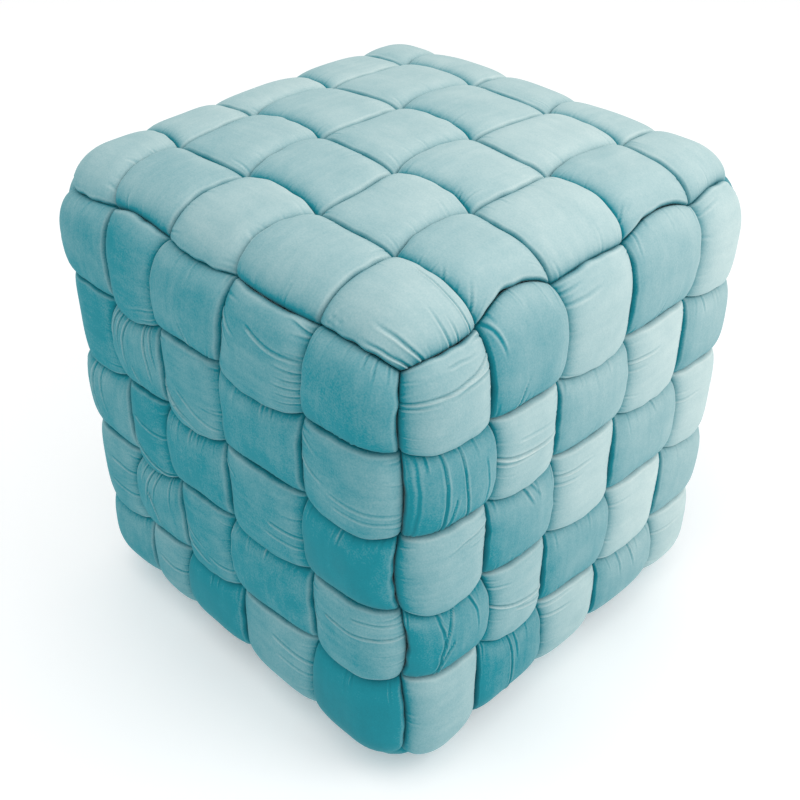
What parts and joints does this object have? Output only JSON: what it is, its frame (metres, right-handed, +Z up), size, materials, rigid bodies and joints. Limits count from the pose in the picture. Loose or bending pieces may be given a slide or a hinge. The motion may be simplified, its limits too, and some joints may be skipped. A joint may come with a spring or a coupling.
{
  "type": "woven cube pouf stool",
  "caption": "Cube pouf stool of padded aqua velvet straps woven over and under on the top and all sides, with soft rounded edges.",
  "frame": {"origin": "centre of the flat base, on the floor", "axes": "+Z up; the +X and -Y sides are the two sides that the picture shows"},
  "size_m": [0.4288, 0.4288, 0.4583],
  "materials": {
    "body_fabric": "plain dark teal cloth",
    "x_strap_velvet": "short pile velvet",
    "y_strap_velvet": "short pile velvet",
    "z_band_velvet": "short pile velvet"
  },
  "bodies": {
    "root": {"filled_body": "body_fabric", "x_strap_1": "x_strap_velvet", "x_strap_2": "x_strap_velvet", "x_strap_3": "x_strap_velvet", "x_strap_4": "x_strap_velvet", "x_strap_5": "x_strap_velvet", "y_strap_1": "y_strap_velvet", "y_strap_2": "y_strap_velvet", "y_strap_3": "y_strap_velvet", "y_strap_4": "y_strap_velvet", "y_strap_5": "y_strap_velvet", "z_band_1": "z_band_velvet", "z_band_2": "z_band_velvet", "z_band_3": "z_band_velvet", "z_band_4": "z_band_velvet", "z_band_5": "z_band_velvet"}
  },
  "joints": []
}
